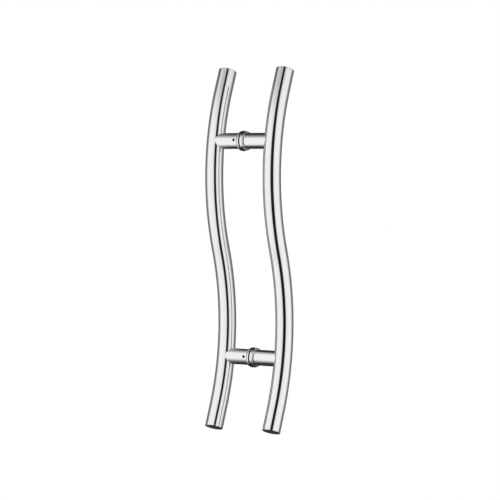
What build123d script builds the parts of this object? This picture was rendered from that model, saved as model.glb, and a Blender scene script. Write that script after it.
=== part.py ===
from build123d import *
from math import asin, atan2, cos, degrees, hypot, sin
import os

# A pair of S-bent door pulls, bolted back to back. Millimetres, +Z up.
# The origin is the middle of the clamp plane, halfway between the two bolts. The bolts run along Y,
# the front pull lies on the -Y side and the rear pull on the +Y side, and each S lies in an XZ plane.

# Grip tubes: two equal tangent bends, one above and one below the middle, with a straight at each end
overall_height = 500.0
tube_diameter = 25.0
tube_wall = 1.5
bend_radius = 325.0
end_straight = 28.0
projection = 60.0  # clamp plane to the outside of a grip

# End caps: turned discs, welded on and polished flush
cap_thickness = 2.0
cap_edge_chamfer = 0.4
cap_register_depth = 3.0
cap_register_clearance = 0.3

# Posts: the front ones are tapped bar, the rear ones are thick tube
post_spacing = 300.0
post_diameter = 22.0
rear_post_wall = 2.5
post_end_chamfer = 0.2

# Rosettes and gaskets: the stack that bears on each side of the clamp plane
rosette_diameter = 28.0
rosette_thickness = 4.2
rosette_crown_radius = 8.0  # of the crowned side, from the gasket up
rosette_edge_radius = 1.2  # rounds the edge of the face that the post stands on
gasket_thickness = 1.2

# Rear bosses: a rosette turned in one with the spigot that the rear post slides over
spigot_clearance = 0.15
boss_seat_depth = 14.0  # clamp side of the boss to the seat of the bolt head
spigot_end_cover = 1.0  # spigot left past the bolt head
spigot_lead_chamfer = 0.8

# Through bolts: low-head socket screws
bolt_diameter = 8.0
bolt_length = 40.0
bolt_hole_clearance = 0.2
bolt_head_diameter = 13.0
bolt_head_height = 5.0
bolt_head_clearance = 0.3
bolt_socket_flats = 5.0
bolt_socket_depth = 3.0
bolt_tip_chamfer = 1.0
thread_play = 0.05
tap_run_out = 3.0

# Grub screws: they lock the rear posts on the spigots, from the side of the post
grub_diameter = 4.0
grub_length = 4.0
grub_point_length = 1.2
grub_recess = 0.8  # sunk below the skin of the post
grub_socket_flats = 2.0
grub_socket_depth = 1.8
grub_from_post_end = 5.1
grub_lift = 12.0  # degrees above the horizontal

# Places and sizes that follow from the values above
tube_radius = tube_diameter / 2
post_radius = post_diameter / 2
rosette_radius = rosette_diameter / 2
grip_offset = projection - tube_radius
post_level = post_spacing / 2
post_foot = gasket_thickness + rosette_thickness
rear_post_bore = post_radius - rear_post_wall
spigot_radius = rear_post_bore - spigot_clearance
bolt_hole_radius = bolt_diameter / 2 + bolt_hole_clearance
bolt_seat = gasket_thickness + boss_seat_depth
bolt_tip = bolt_seat - bolt_length
spigot_end = bolt_seat + bolt_head_height + spigot_end_cover
grub_level = post_foot + grub_from_post_end
grub_outer_end = post_radius - grub_recess

# Each bend crosses the line of the posts at the middle of the pull and again at the post, which sets
# its lean at the middle. The overall height, measured over the cap's highest corner, sets its end.
middle_lean = asin(post_level / (2 * bend_radius))
rise_from_centre = overall_height / 2 - bend_radius * sin(middle_lean)
corner_across = bend_radius + tube_radius - cap_edge_chamfer
corner_along = end_straight + cap_thickness
end_lean = asin(rise_from_centre / hypot(corner_across, corner_along)) - atan2(corner_along, corner_across)
end_direction = Vector(sin(end_lean), 0, cos(end_lean))
bend_centre = Vector(bend_radius * cos(middle_lean), 0, bend_radius * sin(middle_lean))
bend_end = bend_centre + Vector(-bend_radius * cos(end_lean), 0, bend_radius * sin(end_lean))
tube_end = bend_end + end_straight * end_direction


def turned(*corners):
    """A turned piece about Y, from the corners of its half section, given as (radius, place along Y)."""
    return revolve(make_face(Polyline(*corners, close=True)), Axis.Y)


def bent_bar(diameter):
    """A solid round bar along the S, through the origin. Its lower half is the upper one turned about Y."""
    disc = Circle(diameter / 2)
    middle = Plane((0, 0, 0), x_dir=(0, 1, 0), z_dir=(-sin(middle_lean), 0, cos(middle_lean)))
    bend = revolve(middle * disc, Axis(bend_centre, (0, 1, 0)), degrees(end_lean + middle_lean))
    straight = extrude(Plane(bend_end, x_dir=(0, 1, 0), z_dir=end_direction) * disc, end_straight)
    upper = bend + straight
    return upper + Rot(0, 180, 0) * upper


def grip_tube():
    return bent_bar(tube_diameter) - bent_bar(tube_diameter - 2 * tube_wall)


def top_end_cap():
    """A disc over the tube's end, with a shallow register that enters its bore."""
    register_radius = tube_radius - tube_wall - cap_register_clearance
    disc = turned(
        (0, -cap_register_depth),
        (register_radius, -cap_register_depth),
        (register_radius, 0),
        (tube_radius, 0),
        (tube_radius, cap_thickness - cap_edge_chamfer),
        (tube_radius - cap_edge_chamfer, cap_thickness),
        (0, cap_thickness),
    )
    return Pos(tube_end) * Rot(0, degrees(end_lean), 0) * Rot(90, 0, 0) * disc


def post_blank(bore_radius):
    """A post on the +Y side, from its foot on the rosette to the axis of the grip, before coping."""
    return turned(
        (bore_radius, post_foot),
        (post_radius - post_end_chamfer, post_foot),
        (post_radius, post_foot + post_end_chamfer),
        (post_radius, grip_offset),
        (bore_radius, grip_offset),
    )


def coped(post, level):
    """The post at its level, its far end cut to saddle the grip tube."""
    return Pos(0, 0, level) * post - Pos(0, grip_offset, 0) * bent_bar(tube_diameter)


def front_post():
    """A bar tapped from its foot for the through bolt, before coping, on the +Y side."""
    tap_radius = bolt_diameter / 2 + thread_play
    tapped_hole = turned((0, post_foot), (tap_radius, post_foot), (tap_radius, tap_run_out - bolt_tip),
                         (0, tap_run_out - bolt_tip))
    return post_blank(0) - tapped_hole


def grub_shape(play, length):
    """A grub screw along +Y with its outer end in place, measured from the post's axis."""
    radius = grub_diameter / 2 + play
    point = grub_outer_end - length
    return turned(
        (0, point),
        (radius - grub_point_length, point),
        (radius, point + grub_point_length),
        (radius, grub_outer_end),
        (0, grub_outer_end),
    )


def to_grub_side(piece):
    """Turns a piece made along +Y to the side of the post that the grub screw enters."""
    return Pos(0, grub_level, 0) * Rot(0, grub_lift, 0) * Rot(0, 0, 90) * piece


def rear_post():
    """A thick tube with the grub screw's hole through one wall, before coping."""
    hole_radius = grub_diameter / 2 + thread_play
    hole = turned((0, 0), (hole_radius, 0), (hole_radius, post_diameter), (0, post_diameter))
    return post_blank(rear_post_bore) - to_grub_side(hole)


def rosette():
    """A washer on the +Y side: a crowned side, then a rounded edge to the face that the post stands on."""
    crown_centre = (rosette_radius - rosette_crown_radius, gasket_thickness)
    crown_turn = degrees(asin(rosette_thickness / rosette_crown_radius))
    crown = CenterArc(crown_centre, rosette_crown_radius, 0, crown_turn)
    flats = Polyline(
        crown @ 1,
        (bolt_hole_radius, post_foot),
        (bolt_hole_radius, gasket_thickness),
        crown @ 0,
    )
    half_section = make_face(flats.edges() + crown.edges())
    face_edge = half_section.vertices().sort_by_distance(crown @ 1)[0]
    return revolve(fillet(face_edge, rosette_edge_radius), Axis.Y)


def gasket():
    return turned((bolt_hole_radius, 0), (rosette_radius, 0), (rosette_radius, gasket_thickness),
                  (bolt_hole_radius, gasket_thickness))


def rear_boss():
    """Rosette and spigot in one, counterbored for the bolt head and dimpled for the grub screw."""
    counterbore = bolt_head_diameter / 2 + bolt_head_clearance
    spigot = turned(
        (bolt_hole_radius, gasket_thickness),
        (spigot_radius, gasket_thickness),
        (spigot_radius, spigot_end - spigot_lead_chamfer),
        (spigot_radius - spigot_lead_chamfer, spigot_end),
        (counterbore, spigot_end),
        (counterbore, bolt_seat),
        (bolt_hole_radius, bolt_seat),
    )
    return rosette() + spigot - to_grub_side(grub_shape(thread_play, grub_length + thread_play))


def hex_socket(flats, depth, mouth):
    """The key's recess, going in along -Y from its mouth."""
    face = Plane((0, mouth, 0), x_dir=(1, 0, 0), z_dir=(0, -1, 0))
    return extrude(face * RegularPolygon(flats / 2, 6, major_radius=False), depth)


def through_bolt():
    shank_radius = bolt_diameter / 2
    head_top = bolt_seat + bolt_head_height
    blank = turned(
        (0, bolt_tip),
        (shank_radius - bolt_tip_chamfer, bolt_tip),
        (shank_radius, bolt_tip + bolt_tip_chamfer),
        (shank_radius, bolt_seat),
        (bolt_head_diameter / 2, bolt_seat),
        (bolt_head_diameter / 2, head_top),
        (0, head_top),
    )
    return blank - hex_socket(bolt_socket_flats, bolt_socket_depth, head_top)


def grub_screw():
    screw = grub_shape(0, grub_length) - hex_socket(grub_socket_flats, grub_socket_depth, grub_outer_end)
    return to_grub_side(screw)


def to_front(piece):
    return mirror(piece, about=Plane.XZ)


def pull_nodes():
    """Every piece of the pair by name, in place."""
    rear_tube = Pos(0, grip_offset, 0) * grip_tube()
    rear_top_cap = Pos(0, grip_offset, 0) * top_end_cap()
    rear_bottom_cap = Rot(0, 180, 0) * rear_top_cap
    nodes = {
        "rear_grip_tube": rear_tube,
        "rear_top_end_cap": rear_top_cap,
        "rear_bottom_end_cap": rear_bottom_cap,
        "front_grip_tube": to_front(rear_tube),
        "front_top_end_cap": to_front(rear_top_cap),
        "front_bottom_end_cap": to_front(rear_bottom_cap),
    }
    for place, level in (("upper", post_level), ("lower", -post_level)):
        at_level = Pos(0, 0, level)
        nodes[f"rear_{place}_post"] = coped(rear_post(), level)
        nodes[f"rear_{place}_boss"] = at_level * rear_boss()
        nodes[f"rear_{place}_gasket"] = at_level * gasket()
        nodes[f"front_{place}_gasket"] = to_front(at_level * gasket())
        nodes[f"front_{place}_rosette"] = to_front(at_level * rosette())
        nodes[f"front_{place}_post"] = to_front(coped(front_post(), level))
        nodes[f"{place}_through_bolt"] = at_level * through_bolt()
        nodes[f"{place}_grub_screw"] = at_level * grub_screw()
    return nodes


os.makedirs("parts", exist_ok=True)
for node, piece in pull_nodes().items():
    export_step(piece, f"parts/{node}.step")
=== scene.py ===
from math import asin, atan2, cos, degrees, hypot, pi, radians, sin

import bmesh
import bpy
from mathutils import Matrix, Vector


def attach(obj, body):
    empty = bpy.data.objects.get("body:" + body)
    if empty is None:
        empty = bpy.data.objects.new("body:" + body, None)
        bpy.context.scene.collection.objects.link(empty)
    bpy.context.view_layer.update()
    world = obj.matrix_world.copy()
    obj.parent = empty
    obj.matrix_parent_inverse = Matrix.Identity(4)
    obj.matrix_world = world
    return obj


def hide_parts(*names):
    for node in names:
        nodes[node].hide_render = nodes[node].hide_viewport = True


# A pair of S-bent door pulls in polished stainless steel, bolted back to back through a glass door.
# The frame is in metres: +Z up, bolts along Y, front pull on the -Y side, tops of the tubes leaning to +X.
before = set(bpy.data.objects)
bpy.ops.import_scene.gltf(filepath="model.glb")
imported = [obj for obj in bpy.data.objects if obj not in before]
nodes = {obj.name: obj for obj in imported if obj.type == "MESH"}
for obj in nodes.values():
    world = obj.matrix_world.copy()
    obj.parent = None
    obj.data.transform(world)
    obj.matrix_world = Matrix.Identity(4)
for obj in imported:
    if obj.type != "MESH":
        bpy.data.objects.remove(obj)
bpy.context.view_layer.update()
mm = 0.001

# Grip tubes
# Each pull is one round tube, drawn in 304 stainless steel, bent to an S on a former and left straight at
# its ends. It is belt-polished along its length after the posts and end caps are welded on.
overall_height = 500 * mm
tube_radius = 12.5 * mm
tube_wall = 1.5 * mm
bend_radius = 325 * mm
end_straight = 28 * mm
grip_offset = 47.5 * mm
post_level = 150 * mm
cap_thickness = 2 * mm
cap_edge = 0.4 * mm
tube_sides = 96
station_gap = 4 * mm
crease_angle = radians(30)
same_point = 0.0001 * mm

middle_lean = asin(post_level / (2 * bend_radius))
corner_across = bend_radius + tube_radius - cap_edge
corner_along = end_straight + cap_thickness
corner_lean = atan2(corner_along, corner_across)
rise_from_centre = overall_height / 2 - bend_radius * sin(middle_lean)
end_lean = asin(rise_from_centre / hypot(corner_across, corner_along)) - corner_lean
bend_length = bend_radius * (middle_lean + end_lean)
half_length = bend_length + end_straight
bend_centre = Vector((bend_radius * cos(middle_lean), 0, bend_radius * sin(middle_lean)))


def s_line(along):
    """Point of the S and its direction sideways, at a length along it from the middle, up positive."""
    lean = min(abs(along), bend_length) / bend_radius - middle_lean
    direction = Vector((sin(lean), 0, cos(lean)))
    side = Vector((cos(lean), 0, -sin(lean)))
    point = bend_centre - bend_radius * side + max(0, abs(along) - bend_length) * direction
    if along < 0:
        point = -point
    return point, side


def ringed_solid(name, rings, place=Matrix.Identity(4)):
    """A solid through rings of equal point counts, the last joined to the first.

    A ring of no radius closes to a point.
    """
    build = bmesh.new()
    rows = [[build.verts.new(point) for point in ring] for ring in rings]
    for row, next_row in zip(rows, rows[1:] + rows[:1]):
        for i in range(len(row)):
            j = (i + 1) % len(row)
            build.faces.new((row[i], row[j], next_row[j], next_row[i]))
    bmesh.ops.remove_doubles(build, verts=build.verts, dist=same_point)
    bmesh.ops.delete(build, geom=[edge for edge in build.edges if edge.is_wire], context="EDGES")
    bmesh.ops.recalc_face_normals(build, faces=build.faces)
    bmesh.ops.transform(build, matrix=place, verts=build.verts)
    mesh = bpy.data.meshes.new(name)
    build.to_mesh(mesh)
    build.free()
    mesh.shade_smooth()
    mesh.set_sharp_from_angle(angle=crease_angle)
    piece = bpy.data.objects.new(name, mesh)
    bpy.context.scene.collection.objects.link(piece)
    return piece


def linear(hex_colour):
    """An sRGB hex colour as linear red, green, blue and alpha."""
    channels = [int(hex_colour[i:i + 2], 16) / 255 for i in (1, 3, 5)]
    return [c / 12.92 if c <= 0.04045 else ((c + 0.055) / 1.055) ** 2.4 for c in channels] + [1.0]


def add_node(tree, kind, inputs=None, **settings):
    """Adds a node with its settings. Each input is a value, or the output that feeds it."""
    made = tree.nodes.new(kind)
    for name, value in settings.items():
        setattr(made, name, value)
    for socket, value in (inputs or {}).items():
        if isinstance(value, bpy.types.NodeSocket):
            tree.links.new(value, made.inputs[socket])
        else:
            made.inputs[socket].default_value = value
    return made


# Belt-polished stainless: a bright mirror, softened along the tube by fine scratches and faint hand haze.
# The scratches are about 0.05 mm wide on the real thing. Here they are 1.2 mm, so that they show at all.
# Nearly all values of a noise texture lie between noise_low and noise_high, here and in later materials.
scratch_width_mm = 1.2
scratch_length_mm = 300
haze_size_mm = 45
scratch_roughness = (0.085, 0.11)
haze_roughness = 0.01
noise_low = 0.3
noise_high = 0.7
belt_polished = bpy.data.materials.new("belt_polished_304_stainless")
belt_polished.use_nodes = True
tree = belt_polished.node_tree
spot = add_node(tree, "ShaderNodeAttribute", attribute_name="straightened_mm")
stretch = add_node(tree, "ShaderNodeMapping", {
    "Vector": spot.outputs["Vector"],
    "Scale": (1 / scratch_width_mm, 1 / scratch_width_mm, 1 / scratch_length_mm),
})
scratches = add_node(tree, "ShaderNodeTexNoise", {
    "Vector": stretch.outputs["Vector"], "Scale": 1.0, "Detail": 4.0, "Roughness": 0.6,
})
wiped = add_node(tree, "ShaderNodeTexNoise", {
    "Vector": spot.outputs["Vector"], "Scale": 1 / haze_size_mm, "Detail": 2.0,
})
tone = add_node(tree, "ShaderNodeMix", {
    "Factor": scratches.outputs["Fac"], "A": linear("#dedede"), "B": linear("#e5e5e5"),
}, data_type="RGBA")
grain = add_node(tree, "ShaderNodeMapRange", {
    "Value": scratches.outputs["Fac"], "From Min": noise_low, "From Max": noise_high,
    "To Min": scratch_roughness[0], "To Max": scratch_roughness[1],
})
haze = add_node(tree, "ShaderNodeMapRange", {
    "Value": wiped.outputs["Fac"], "From Min": noise_low, "From Max": noise_high,
    "To Min": -haze_roughness, "To Max": haze_roughness,
})
gloss = add_node(tree, "ShaderNodeMath", {
    0: grain.outputs["Result"], 1: haze.outputs["Result"],
}, operation="ADD")
ridges = add_node(tree, "ShaderNodeBump", {
    "Height": scratches.outputs["Fac"], "Strength": 0.01, "Distance": 0.02 * mm,
})
shader = tree.nodes["Principled BSDF"]
shader.inputs["Metallic"].default_value = 1.0
tree.links.new(tone.outputs["Result"], shader.inputs["Base Color"])
tree.links.new(gloss.outputs["Value"], shader.inputs["Roughness"])
tree.links.new(ridges.outputs["Normal"], shader.inputs["Normal"])

station_count = round(2 * half_length / station_gap)
stations = [half_length * (2 * k / station_count - 1) for k in range(station_count + 1)]
tube_turns = [2 * pi * k / tube_sides for k in range(tube_sides)]


def tube_ring(along, radius, offset):
    """One ring of points round the S."""
    point, side = s_line(along)
    across = Vector((0, 1, 0))
    return [point + offset * across + radius * (cos(t) * side + sin(t) * across) for t in tube_turns]


for pull, offset in (("front", -grip_offset), ("rear", grip_offset)):
    skins = [(tube_radius, along) for along in stations]
    skins += [(tube_radius - tube_wall, along) for along in reversed(stations)]
    rings = [tube_ring(along, radius, offset) for radius, along in skins]
    tube = ringed_solid(f"{pull}_bent_tube", rings)
    straightened = tube.data.attributes.new("straightened_mm", "FLOAT_VECTOR", "POINT")
    straight_points = [
        Vector((radius * cos(t), radius * sin(t), along)) / mm
        for radius, along in skins
        for t in tube_turns
    ]
    for value, point in zip(straightened.data, straight_points):
        value.vector = point
    tube.data.materials.append(belt_polished)
    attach(tube, "root")
    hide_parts(f"{pull}_grip_tube")

# End caps
# Each tube end is closed by a disc turned in 304 stainless steel, with a shallow register in the bore.
# The disc is welded round its edge, and the weld is ground and polished flush with the tube.
register_depth = 3 * mm
register_clearance = 0.3 * mm
register_radius = tube_radius - tube_wall - register_clearance

# Faced stainless: rings round the middle of the disc, left by the facing tool under the polish.
# The rings are about 0.1 mm apart on the real thing, and 0.7 mm here, so that they show.
facing_gap_mm = 0.7
facing_roughness = (0.13, 0.2)
faced_steel = bpy.data.materials.new("faced_and_polished_304_stainless")
faced_steel.use_nodes = True
tree = faced_steel.node_tree
spot = add_node(tree, "ShaderNodeAttribute", attribute_name="from_axis_mm")
marks = add_node(tree, "ShaderNodeTexNoise", {
    "Vector": spot.outputs["Vector"], "Scale": 1 / facing_gap_mm, "Detail": 3.0, "Roughness": 0.55,
})
tone = add_node(tree, "ShaderNodeMix", {
    "Factor": marks.outputs["Fac"], "A": linear("#dcdcdc"), "B": linear("#e5e5e5"),
}, data_type="RGBA")
gloss = add_node(tree, "ShaderNodeMapRange", {
    "Value": marks.outputs["Fac"], "From Min": noise_low, "From Max": noise_high,
    "To Min": facing_roughness[0], "To Max": facing_roughness[1],
})
ridges = add_node(tree, "ShaderNodeBump", {
    "Height": marks.outputs["Fac"], "Strength": 0.02, "Distance": 0.02 * mm,
})
shader = tree.nodes["Principled BSDF"]
shader.inputs["Metallic"].default_value = 1.0
tree.links.new(tone.outputs["Result"], shader.inputs["Base Color"])
tree.links.new(gloss.outputs["Result"], shader.inputs["Roughness"])
tree.links.new(ridges.outputs["Normal"], shader.inputs["Normal"])

cap_profile = [
    (0, -register_depth),
    (register_radius, -register_depth),
    (register_radius, 0),
    (tube_radius, 0),
    (tube_radius, cap_thickness - cap_edge),
    (tube_radius - cap_edge, cap_thickness),
    (0, cap_thickness),
]


def round_ring(radius, along):
    """One ring of points about the Z axis."""
    return [Vector((radius * cos(t), radius * sin(t), along)) for t in tube_turns]


for pull, offset in (("front", -grip_offset), ("rear", grip_offset)):
    for end, along, flip in (("top", half_length, 0), ("bottom", -half_length, pi)):
        tube_end = s_line(along)[0] + Vector((0, offset, 0))
        place = Matrix.Translation(tube_end) @ Matrix.Rotation(end_lean + flip, 4, "Y")
        cap = ringed_solid(f"{pull}_{end}_disc", [round_ring(*corner) for corner in cap_profile], place)
        from_axis = cap.data.attributes.new("from_axis_mm", "FLOAT_VECTOR", "POINT")
        to_disc = place.inverted()
        for vertex in cap.data.vertices:
            x, y, z = to_disc @ vertex.co
            from_axis.data[vertex.index].vector = (hypot(x, y) / mm, z / mm, 0)
        cap.data.materials.append(faced_steel)
        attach(cap, "root")
        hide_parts(f"{pull}_{end}_end_cap")

# Posts, rosettes and bosses
# Two posts carry each tube, coped to its back and welded on. The front ones are bar, on loose rosettes.
# The rear ones are thick tube and slide over bosses, each turned in one with its own rosette.

# Turned stainless: a bright polish over faint rings round the axis of the bolt.
# The tool marks are about 0.1 mm apart on the real thing, and 0.8 mm here, so that they show.
tool_mark_gap = 0.8 * mm
tool_mark_length = 60 * mm
turned_roughness = (0.12, 0.17)
turned_steel = bpy.data.materials.new("turned_and_polished_304_stainless")
turned_steel.use_nodes = True
tree = turned_steel.node_tree
spot = add_node(tree, "ShaderNodeTexCoord")
stretch = add_node(tree, "ShaderNodeMapping", {
    "Vector": spot.outputs["Object"],
    "Scale": (1 / tool_mark_length, 1 / tool_mark_gap, 1 / tool_mark_length),
})
marks = add_node(tree, "ShaderNodeTexNoise", {
    "Vector": stretch.outputs["Vector"], "Scale": 1.0, "Detail": 3.0, "Roughness": 0.55,
})
tone = add_node(tree, "ShaderNodeMix", {
    "Factor": marks.outputs["Fac"], "A": linear("#dedede"), "B": linear("#e5e5e5"),
}, data_type="RGBA")
gloss = add_node(tree, "ShaderNodeMapRange", {
    "Value": marks.outputs["Fac"], "From Min": noise_low, "From Max": noise_high,
    "To Min": turned_roughness[0], "To Max": turned_roughness[1],
})
ridges = add_node(tree, "ShaderNodeBump", {
    "Height": marks.outputs["Fac"], "Strength": 0.01, "Distance": 0.02 * mm,
})
shader = tree.nodes["Principled BSDF"]
shader.inputs["Metallic"].default_value = 1.0
tree.links.new(tone.outputs["Result"], shader.inputs["Base Color"])
tree.links.new(gloss.outputs["Result"], shader.inputs["Roughness"])
tree.links.new(ridges.outputs["Normal"], shader.inputs["Normal"])

for name, node_object in nodes.items():
    if name.endswith(("_post", "_rosette", "_boss")):
        node_object.data.materials[0] = turned_steel

# Gaskets
# A ring of black EPDM, stamped from 1.2 mm sheet, lies against each rosette and boss.
# It keeps the steel off the glass, and here the front and rear ones meet, with no door between.

# Stamped EPDM sheet: a deep matt black with a fine grain and a grey bloom in places.
# The grain is about 0.1 mm on the real thing, and 0.5 mm here, so that it shows.
grain_size = 0.5 * mm
rubber_roughness = (0.62, 0.8)
rubber = bpy.data.materials.new("stamped_black_epdm")
rubber.use_nodes = True
tree = rubber.node_tree
spot = add_node(tree, "ShaderNodeTexCoord")
grit = add_node(tree, "ShaderNodeTexNoise", {
    "Vector": spot.outputs["Object"], "Scale": 1 / grain_size, "Detail": 3.0,
})
tone = add_node(tree, "ShaderNodeMix", {
    "Factor": grit.outputs["Fac"], "A": linear("#090909"), "B": linear("#121212"),
}, data_type="RGBA")
bloom = add_node(tree, "ShaderNodeMapRange", {
    "Value": grit.outputs["Fac"], "From Min": noise_low, "From Max": noise_high,
    "To Min": rubber_roughness[0], "To Max": rubber_roughness[1],
})
pimples = add_node(tree, "ShaderNodeBump", {
    "Height": grit.outputs["Fac"], "Strength": 0.15, "Distance": 0.03 * mm,
})
shader = tree.nodes["Principled BSDF"]
shader.inputs["Specular IOR Level"].default_value = 0.2
tree.links.new(tone.outputs["Result"], shader.inputs["Base Color"])
tree.links.new(bloom.outputs["Result"], shader.inputs["Roughness"])
tree.links.new(pimples.outputs["Normal"], shader.inputs["Normal"])

for name, node_object in nodes.items():
    if name.endswith("_gasket"):
        node_object.data.materials[0] = rubber

# Through bolts
# An M8 low-head socket screw in plain stainless steel goes through each boss, both gaskets and the front
# rosette, and pulls on the tapped front post. The thread is rolled, and the key's recess is pressed in.
bolt_radius = 4 * mm
bolt_pitch = 1.25 * mm
bolt_tip = -24.8 * mm
bolt_tip_cone = 1 * mm
bolt_thread_end = 3 * mm
bolt_seat = 15.2 * mm
bolt_head_radius = 6.5 * mm
bolt_head_top = 20.2 * mm
bolt_socket_flats = 5 * mm
bolt_socket_depth = 3 * mm
screw_sides = 36
rings_per_pitch = 8
thread_depth_share = 0.61
screw_turns = [2 * pi * k / screw_sides for k in range(screw_sides)]


def screw_solid(name, radius, pitch, tip, tip_cone, thread_end, head, flats, socket_depth, place):
    """A socket screw along Y: a rolled thread from its tip, its head's rings, and a hexagon recess."""
    def ring(along, radius_at):
        return [Vector((radius_at(t) * cos(t), along, radius_at(t) * sin(t))) for t in screw_turns]

    def thread_radius(along, turn):
        groove = abs(2 * ((along / pitch - turn / (2 * pi)) % 1) - 1)
        return min(radius - thread_depth_share * pitch * groove, radius - tip_cone + along - tip)

    def hexagon(turn):
        return flats / 2 / cos((turn + pi / 6) % (pi / 3) - pi / 6)

    top = head[-1][1]
    ring_count = round((thread_end - tip) * rings_per_pitch / pitch)
    threaded = [tip + (thread_end - tip) * k / ring_count for k in range(ring_count + 1)]
    rings = [ring(tip, lambda t: 0)]
    rings += [ring(along, lambda t: thread_radius(along, t)) for along in threaded]
    rings += [ring(along, lambda t: ring_radius) for ring_radius, along in head]
    rings += [ring(along, hexagon) for along in (top, top - socket_depth)]
    rings += [ring(top - socket_depth, lambda t: 0)]
    return ringed_solid(name, rings, place)


# Plain cold-headed stainless: duller than the polished pieces, with a fine cloudy grain.
# The grain is about 0.05 mm on the real thing, and 0.4 mm here, so that it shows.
cloud_size = 0.4 * mm
screw_roughness = (0.26, 0.38)
screw_steel = bpy.data.materials.new("cold_headed_stainless")
screw_steel.use_nodes = True
tree = screw_steel.node_tree
spot = add_node(tree, "ShaderNodeTexCoord")
clouds = add_node(tree, "ShaderNodeTexNoise", {
    "Vector": spot.outputs["Object"], "Scale": 1 / cloud_size, "Detail": 3.0,
})
tone = add_node(tree, "ShaderNodeMix", {
    "Factor": clouds.outputs["Fac"], "A": linear("#bcbcbc"), "B": linear("#d0d0d0"),
}, data_type="RGBA")
gloss = add_node(tree, "ShaderNodeMapRange", {
    "Value": clouds.outputs["Fac"], "From Min": noise_low, "From Max": noise_high,
    "To Min": screw_roughness[0], "To Max": screw_roughness[1],
})
shader = tree.nodes["Principled BSDF"]
shader.inputs["Metallic"].default_value = 1.0
tree.links.new(tone.outputs["Result"], shader.inputs["Base Color"])
tree.links.new(gloss.outputs["Result"], shader.inputs["Roughness"])

bolt_head = [
    (bolt_radius, bolt_thread_end),
    (bolt_radius, bolt_seat),
    (bolt_head_radius, bolt_seat),
    (bolt_head_radius, bolt_head_top),
]
for place_name, level in (("upper", post_level), ("lower", -post_level)):
    bolt = screw_solid(
        f"{place_name}_socket_screw", bolt_radius, bolt_pitch, bolt_tip, bolt_tip_cone, bolt_thread_end,
        bolt_head, bolt_socket_flats, bolt_socket_depth, Matrix.Translation((0, 0, level)),
    )
    bolt.data.materials.append(screw_steel)
    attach(bolt, "root")
    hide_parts(f"{place_name}_through_bolt")

# Grub screws
# An M4 grub screw in hardened steel, with a black oxide finish, locks each rear post on its boss.
# It is sunk a little below the skin of the post, on the left and just above the middle.
grub_radius = 2 * mm
grub_pitch = 0.7 * mm
grub_outer_end = 10.2 * mm
grub_length = 4 * mm
grub_point_length = 1.2 * mm
grub_socket_flats = 2 * mm
grub_socket_depth = 1.8 * mm
grub_from_clamp = 10.5 * mm
grub_lift = radians(12)

# Black oxide: a thin dark skin on bare steel, satin, with brown-grey mottling too fine to see from afar.
# The mottling is about 0.1 mm on the real thing, and 0.4 mm here, so that it shows.
mottle_size = 0.4 * mm
oxide_roughness = (0.35, 0.5)
black_oxide = bpy.data.materials.new("black_oxide_steel")
black_oxide.use_nodes = True
tree = black_oxide.node_tree
spot = add_node(tree, "ShaderNodeTexCoord")
mottle = add_node(tree, "ShaderNodeTexNoise", {
    "Vector": spot.outputs["Object"], "Scale": 1 / mottle_size, "Detail": 2.0,
})
tone = add_node(tree, "ShaderNodeMix", {
    "Factor": mottle.outputs["Fac"], "A": linear("#242424"), "B": linear("#343332"),
}, data_type="RGBA")
gloss = add_node(tree, "ShaderNodeMapRange", {
    "Value": mottle.outputs["Fac"], "From Min": noise_low, "From Max": noise_high,
    "To Min": oxide_roughness[0], "To Max": oxide_roughness[1],
})
shader = tree.nodes["Principled BSDF"]
shader.inputs["Metallic"].default_value = 1.0
tree.links.new(tone.outputs["Result"], shader.inputs["Base Color"])
tree.links.new(gloss.outputs["Result"], shader.inputs["Roughness"])

grub_point = grub_outer_end - grub_length
to_side = Matrix.Rotation(grub_lift, 4, "Y") @ Matrix.Rotation(pi / 2, 4, "Z")
for place_name, level in (("upper", post_level), ("lower", -post_level)):
    grub = screw_solid(
        f"{place_name}_set_screw", grub_radius, grub_pitch, grub_point, grub_point_length,
        grub_outer_end, [(grub_radius, grub_outer_end)], grub_socket_flats, grub_socket_depth,
        Matrix.Translation((0, grub_from_clamp, level)) @ to_side,
    )
    grub.data.materials.append(black_oxide)
    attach(grub, "root")
    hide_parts(f"{place_name}_grub_screw")

# Light tent
# The pull hangs in a round tent of white cloth, lit from outside, which is what its steel mirrors. The
# camera looks in through a tall dark slit. The cloth is bright on both sides of it, and falls off to the
# back, top and bottom. A tall bright panel at the back, on the right, lights the steel seen from behind.
camera_azimuth = radians(-55.966)
toward_camera = Vector((sin(camera_azimuth), -cos(camera_azimuth), 0))
rightward = Vector((cos(camera_azimuth), sin(camera_azimuth), 0))
tent_radius = 1.1
tent_setback = 0.5
tent_columns = 240
tent_rows = 120

# Places on the cloth are in degrees, seen from the pull: to the right of the camera, and above the level.
# A pair of them is where a fade starts and where it ends. Each light is a strength, where 1 is white.
dark_light = 0.04
wall_light = 1.15
wall_share_by_slit = 0.92  # the share of that light beside the slit
wall_gains = (25, 60)  # from that share to the whole
wall_foot = (-62, -22)
wall_full_below = 34
wall_head = 88
wall_head_drop = 14  # toward the end of the wall
wall_head_drops = (55, 95)
wall_end = {"left": 103, "right": 98}
wall_end_blur = {"left": 14, "right": 20}
wall_end_shift = {"left": 24, "right": -25}  # off the level, the left wall is longer, the right one shorter
wall_shifts_above = {"left": (38, 56), "right": (20, 38)}
right_wall_shifts_below = (17, 32)
side_light = {"left": 0.22, "right": 0.20}  # of the dim cloth past the end of a wall
rear_light = 0.05
rear_begins = (140, 165)
back_foot = (-38, -22)
back_head = 44
back_head_blur = 16
back_head_drop = 14  # toward the rear
back_head_drops = (135, 160)
panel_light = 0.9
panel_left = (160, 166)
panel_right = (180, 174)
panel_foot = (-46, -34)
panel_head = (44, 32)
slit_light = 0.012
slit_centre = 3.45
slit_half = 17.5
slit_soft = 4
slit_flare = 6.5
slit_flares_below = (12, 36)


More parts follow.
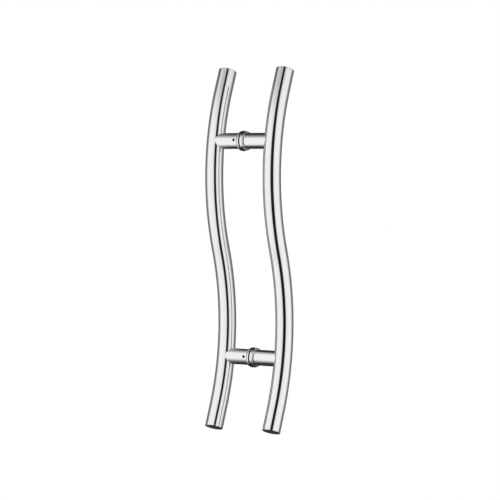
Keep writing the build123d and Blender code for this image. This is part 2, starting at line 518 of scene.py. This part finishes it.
def fade(value, start, end):
    """0 at start, 1 at end, smooth between."""
    share = min(1, max(0, (value - start) / (end - start)))
    return share * share * (3 - 2 * share)


def between(first, second, share):
    """The first value where share is 0, the second where it is 1."""
    return first + (second - first) * share


def wall_glow(away, rise):
    """Light of the bright walls, by degrees to either side of the camera and above the level."""
    full = wall_light * between(wall_share_by_slit, 1, fade(away, *wall_gains))
    head = wall_head - wall_head_drop * fade(away, *wall_head_drops)
    return between(dark_light, full, fade(rise, *wall_foot) * fade(rise, head, wall_full_below))


def back_glow(side, away, rise):
    """Light of the dim cloth past the end of a wall."""
    full = between(side_light[side], rear_light, fade(away, *rear_begins))
    head = back_head - back_head_drop * fade(away, *back_head_drops)
    return between(dark_light, full, fade(rise, *back_foot) * fade(rise, head, head - back_head_blur))


def tent_light(turn, rise):
    """Light of the cloth, by degrees to the right of the camera and above the level."""
    side = "right" if turn > 0 else "left"
    away = abs(turn)
    off_level = fade(rise, *wall_shifts_above[side])
    if side == "right":
        off_level = max(off_level, fade(-rise, *right_wall_shifts_below))
    wall_edge = wall_end[side] + wall_end_shift[side] * off_level
    past_wall = fade(away, wall_edge - wall_end_blur[side], wall_edge + wall_end_blur[side])
    light = between(wall_glow(away, rise), back_glow(side, away, rise), past_wall)
    in_panel = fade(turn, *panel_left) * fade(turn, *panel_right)
    in_panel *= fade(rise, *panel_foot) * fade(rise, *panel_head)
    light = between(light, panel_light, in_panel)
    slit_left = slit_centre - slit_half - slit_flare * fade(-rise, *slit_flares_below)
    slit_right = slit_centre + slit_half
    in_slit = fade(turn, slit_left - slit_soft, slit_left + slit_soft)
    in_slit *= fade(turn, slit_right + slit_soft, slit_right - slit_soft)
    return between(light, slit_light, in_slit)


# Lit white cloth: it glows evenly by itself, as bright as the attribute painted on it says.
tent_cloth = bpy.data.materials.new("lit_white_cloth")
tent_cloth.use_nodes = True
tree = tent_cloth.node_tree
tree.nodes.clear()
painted = add_node(tree, "ShaderNodeAttribute", attribute_name="tent_light")
glow = add_node(tree, "ShaderNodeEmission", {"Strength": painted.outputs["Fac"]})
add_node(tree, "ShaderNodeOutputMaterial", {"Surface": glow.outputs["Emission"]})

tent_mesh = bpy.data.meshes.new("light_tent")
build = bmesh.new()
bmesh.ops.create_uvsphere(build, u_segments=tent_columns, v_segments=tent_rows, radius=tent_radius)
build.to_mesh(tent_mesh)
build.free()
tent_mesh.shade_smooth()
brightness = tent_mesh.attributes.new("tent_light", "FLOAT", "POINT")
for vertex in tent_mesh.vertices:
    vertex.co -= tent_setback * toward_camera
    x, y, z = vertex.co
    turn = (degrees(atan2(x, -y) - camera_azimuth) + 180) % 360 - 180
    rise = degrees(atan2(z, hypot(x, y)))
    brightness.data[vertex.index].value = tent_light(turn, rise)
tent_mesh.materials.append(tent_cloth)
tent = bpy.data.objects.new("light_tent", tent_mesh)
bpy.context.scene.collection.objects.link(tent)
tent.visible_camera = False
tent.visible_diffuse = False
tent.visible_shadow = False

# Cloth strip
# A strip of the same lit cloth hangs inside the tent, left of the slit and nearer the pull than the wall.
# Its right border fades to the dark of the slit. The rear tube, which stands further left, sees less of
# the slit past it than the front tube does. Its light is the wall's, at the turn and reach given here.
strip_reach = 0.374
strip_left = -0.18
strip_edge = -0.088
strip_soft = 0.04
strip_flare = 0.035
strip_half_height = 0.7
strip_columns = 50
strip_rows = 100
strip_wall_turn = -30
strip_wall_reach = 0.45
strip_width = strip_edge + strip_soft - strip_left
strip_mesh = bpy.data.meshes.new("cloth_strip")
build = bmesh.new()
bmesh.ops.create_grid(build, x_segments=strip_columns, y_segments=strip_rows, size=1)
build.to_mesh(strip_mesh)
build.free()
brightness = strip_mesh.attributes.new("tent_light", "FLOAT", "POINT")
for vertex in strip_mesh.vertices:
    across = strip_left + (vertex.co.x + 1) / 2 * strip_width
    height = vertex.co.y * strip_half_height
    vertex.co = strip_reach * toward_camera + across * rightward + Vector((0, 0, height))
    rise = degrees(atan2(height, strip_wall_reach))
    edge = strip_edge - strip_flare * fade(-rise, *slit_flares_below)
    in_slit = fade(across, edge - strip_soft, edge + strip_soft)
    brightness.data[vertex.index].value = between(tent_light(strip_wall_turn, rise), slit_light, in_slit)
strip_mesh.materials.append(tent_cloth)
strip = bpy.data.objects.new("cloth_strip", strip_mesh)
bpy.context.scene.collection.objects.link(strip)
strip.visible_camera = False
strip.visible_diffuse = False
strip.visible_shadow = False

# Floor, white room and key lamp
# A plain white floor lies well below the pull, in a white room that lights its matt surfaces evenly.
# One soft lamp, up on the left, gives the floor the pull's shadow.
floor_drop = 1.2
floor_radius = 3
floor_sides = 96
floor_mesh = bpy.data.meshes.new("floor")
build = bmesh.new()
bmesh.ops.create_circle(build, cap_ends=True, segments=floor_sides, radius=floor_radius)
build.to_mesh(floor_mesh)
build.free()
floor = bpy.data.objects.new("floor", floor_mesh)
floor.location.z = -floor_drop
bpy.context.scene.collection.objects.link(floor)
floor_paint = bpy.data.materials.new("matt_white_floor_paint")
floor_paint.use_nodes = True
tree = floor_paint.node_tree
tree.nodes.clear()
matt = add_node(tree, "ShaderNodeBsdfDiffuse", {"Color": linear("#fdfdfd")})
add_node(tree, "ShaderNodeOutputMaterial", {"Surface": matt.outputs["BSDF"]})
floor_mesh.materials.append(floor_paint)

world = bpy.data.worlds.new("white_room")
bpy.context.scene.world = world
world.use_nodes = True
tree = world.node_tree
tree.nodes.clear()
room = add_node(tree, "ShaderNodeBackground", {"Color": linear("#ffffff"), "Strength": 1.0})
add_node(tree, "ShaderNodeOutputWorld", {"Surface": room.outputs["Background"]})

lamp_distance = 1.8
lamp_size = 1.2
lamp_watts = 6
lamp_left_of_camera = radians(50)
lamp_turn = camera_azimuth - lamp_left_of_camera
lamp_rise = radians(45)
lamp_data = bpy.data.lights.new("key_lamp", "AREA")
lamp_data.shape = "SQUARE"
lamp_data.size = lamp_size
lamp_data.energy = lamp_watts
lamp = bpy.data.objects.new("key_lamp", lamp_data)
bpy.context.scene.collection.objects.link(lamp)
lamp.location = lamp_distance * Vector((
    sin(lamp_turn) * cos(lamp_rise),
    -cos(lamp_turn) * cos(lamp_rise),
    sin(lamp_rise),
))
lamp.rotation_mode = "QUATERNION"
lamp.rotation_quaternion = (-lamp.location).to_track_quat("-Z", "Y")
lamp.visible_camera = False
lamp.visible_glossy = False

# Camera
# It stands three metres off, to the left of the front pull and a little above the middle of the pair.
# It is turned a little about its own line of sight, as the photograph is.
camera_elevation = radians(6.283)
camera_roll = radians(-2.612)
camera_distance = 3.00189
camera_slide = 0.947 * mm
camera_lift = -0.39 * mm
camera_sensor_mm = 36
camera_lens_mm = 157.03
back = Vector((
    sin(camera_azimuth) * cos(camera_elevation),
    -cos(camera_azimuth) * cos(camera_elevation),
    sin(camera_elevation),
))
up = back.cross(rightward)
turned_right = rightward * cos(camera_roll) + up * sin(camera_roll)
turned_up = up * cos(camera_roll) - rightward * sin(camera_roll)
eye = camera_slide * rightward + camera_lift * up + camera_distance * back
camera_data = bpy.data.cameras.new("camera")
camera_data.sensor_width = camera_sensor_mm
camera_data.lens = camera_lens_mm
camera = bpy.data.objects.new("camera", camera_data)
bpy.context.scene.collection.objects.link(camera)
camera.matrix_world = Matrix((
    (turned_right.x, turned_up.x, back.x, eye.x),
    (turned_right.y, turned_up.y, back.y, eye.y),
    (turned_right.z, turned_up.z, back.z, eye.z),
    (0, 0, 0, 1),
))
bpy.context.scene.camera = camera
bpy.context.scene.view_settings.view_transform = "Standard"
